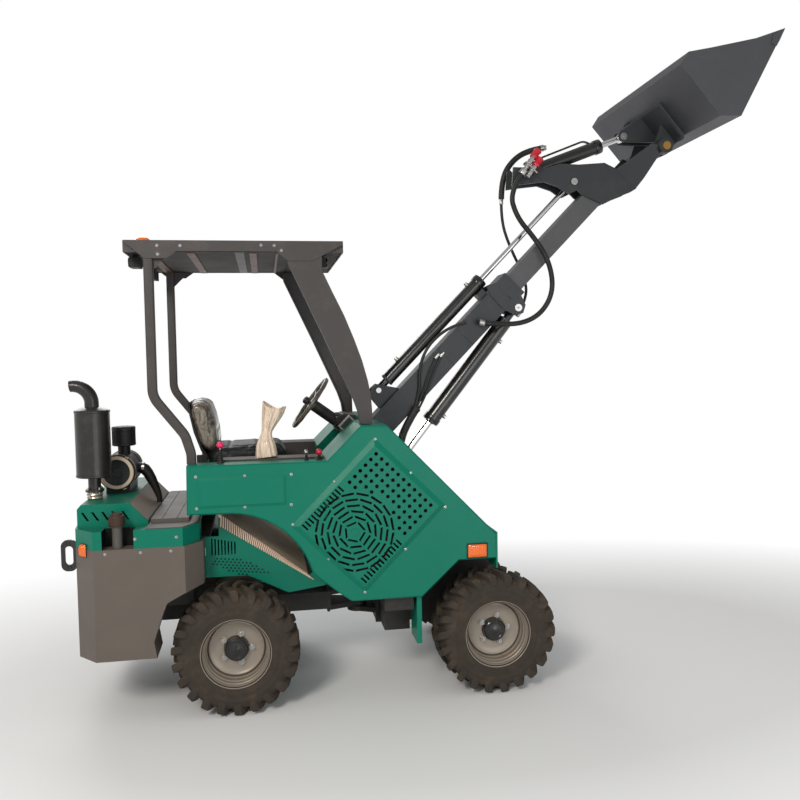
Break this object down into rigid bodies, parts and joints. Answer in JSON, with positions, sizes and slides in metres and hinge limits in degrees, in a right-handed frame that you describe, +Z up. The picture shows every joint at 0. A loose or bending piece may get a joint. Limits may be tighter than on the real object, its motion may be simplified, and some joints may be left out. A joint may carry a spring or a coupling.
{
  "type": "wheel loader",
  "caption": "Compact articulated wheel loader with an open canopy, side grilles, a raised telescopic boom, its lift and tilt cylinders, and a wide bucket on a hitch.",
  "frame": {"origin": "on the ground under the middle of the whole machine's box, boom raised", "axes": "+X forward, +Y to the machine's left, +Z up"},
  "size_m": [3.5258, 1.098, 3.2379],
  "materials": {
    "tyre": "dusty matt",
    "rim": "satin",
    "green": "gloss",
    "grey": "satin",
    "charcoal": "textured matt",
    "black": "gloss",
    "boomgrey": "satin",
    "steel": "bare",
    "chrome": "polished",
    "brass": "dull",
    "plastic": "matt",
    "seat": "vinyl",
    "hose": "matt",
    "orange": "clear lens",
    "red": "gloss"
  },
  "bodies": {
    "front_frame": {"front_axle": "black", "front_chassis": "black", "frame_pins": "steel", "hump": "green", "side_rails": "green", "side_panels": "green", "seat_box": "charcoal", "foot_guard": "green", "foot_plate": "grey", "levers": "red", "seat": "seat", "steering_column": "plastic", "steering_wheel": "plastic", "joystick": "plastic", "canopy_posts": "charcoal", "canopy_roof": "charcoal", "beacon": "orange", "work_lamps": "plastic", "front_plates": "green", "marker_lamps": "orange", "belly_tank": "black"},
    "rear_frame": {"rear_axle": "black", "rear_chassis": "black", "engine": "grey", "rear_weights": "grey", "hood": "green", "deck": "black", "muffler": "black", "air_cleaner": "plastic", "intake_hose": "hose", "filler": "plastic", "rear_lamps": "orange", "tow_bracket": "black"},
    "boom": {"outer_boom": "boomgrey", "boom_pins": "steel", "extend_barrel": "black", "boom_hoses": "hose"},
    "inner_boom": {"inner_boom": "boomgrey", "boom_head": "boomgrey", "head_pins": "brass", "extend_rod": "chrome", "quick_couplings": "steel", "loop_hose": "hose", "thin_hose": "hose", "sleeve_hose": "hose"},
    "lift_barrel": {"lift_barrel": "black"},
    "lift_rod": {"lift_rod": "chrome"},
    "tilt_barrel": {"tilt_barrel": "black"},
    "tilt_rod": {"tilt_rod": "chrome"},
    "bucket": {"coupler": "boomgrey", "bucket": "boomgrey"},
    "wheel_front_left": {"tyre_front_left": "tyre", "rim_front_left": "rim"},
    "wheel_front_right": {"tyre_front_right": "tyre", "rim_front_right": "rim"},
    "wheel_rear_left": {"tyre_rear_left": "tyre", "rim_rear_left": "rim"},
    "wheel_rear_right": {"tyre_rear_right": "tyre", "rim_rear_right": "rim"}
  },
  "joints": [
    {"name": "articulation", "type": "hinge", "parent": "front_frame", "child": "rear_frame", "pos_m": [-0.36443, 0, 0.38], "axis": [0, 0, 1], "range_deg": [-35, 35]},
    {"name": "boom_lift", "type": "hinge", "parent": "front_frame", "child": "boom", "pos_m": [-0.30693, 0, 1.198], "axis": [0, -1, 0], "range_deg": [-78, 5]},
    {"name": "boom_extend", "type": "slide", "parent": "boom", "child": "inner_boom", "axis": [0.7009, 0, 0.7133], "range_m": [-0.55, 0]},
    {"name": "bucket_tilt", "type": "hinge", "parent": "inner_boom", "child": "bucket", "pos_m": [1.30393, 0, 2.73593], "axis": [0, -1, 0], "range_deg": [-100, 15]},
    {"name": "lift_barrel_swing", "type": "hinge", "parent": "boom", "child": "lift_barrel", "pos_m": [0.52634, 0, 1.89614], "axis": [0, -1, 0], "range_deg": [-0.05, 0.45]},
    {"name": "lift_rod_slide", "type": "slide", "parent": "lift_barrel", "child": "lift_rod", "axis": [-0.6232, 0, -0.7821], "range_m": [-0.351, 0.023]},
    {"name": "tilt_barrel_swing", "type": "hinge", "parent": "inner_boom", "child": "tilt_barrel", "pos_m": [0.57173, 0, 2.61004], "axis": [0, -1, 0], "range_deg": [-3.6, 0.6]},
    {"name": "tilt_rod_slide", "type": "slide", "parent": "tilt_barrel", "child": "tilt_rod", "axis": [0.9354, 0, 0.3537], "range_m": [-0.042, 0.275]},
    {"name": "wheel_front_right_spin", "type": "hinge", "parent": "front_frame", "child": "wheel_front_right", "pos_m": [0.25807, -0.44, 0.295], "axis": [0, 1, 0], "continuous": true},
    {"name": "wheel_front_left_spin", "type": "hinge", "parent": "front_frame", "child": "wheel_front_left", "pos_m": [0.25807, 0.44, 0.295], "axis": [0, 1, 0], "continuous": true},
    {"name": "wheel_rear_right_spin", "type": "hinge", "parent": "rear_frame", "child": "wheel_rear_right", "pos_m": [-0.98693, -0.44, 0.295], "axis": [0, 1, 0], "continuous": true},
    {"name": "wheel_rear_left_spin", "type": "hinge", "parent": "rear_frame", "child": "wheel_rear_left", "pos_m": [-0.98693, 0.44, 0.295], "axis": [0, 1, 0], "continuous": true}
  ],
  "couplings": [
    {"joint": "lift_barrel_swing", "follows": "boom_lift", "ratio": -0.005},
    {"joint": "lift_rod_slide", "follows": "boom_lift", "m_per_rad": 0.2568},
    {"joint": "tilt_barrel_swing", "follows": "bucket_tilt", "ratio": 0.035},
    {"joint": "tilt_rod_slide", "follows": "bucket_tilt", "m_per_rad": -0.1569}
  ]
}
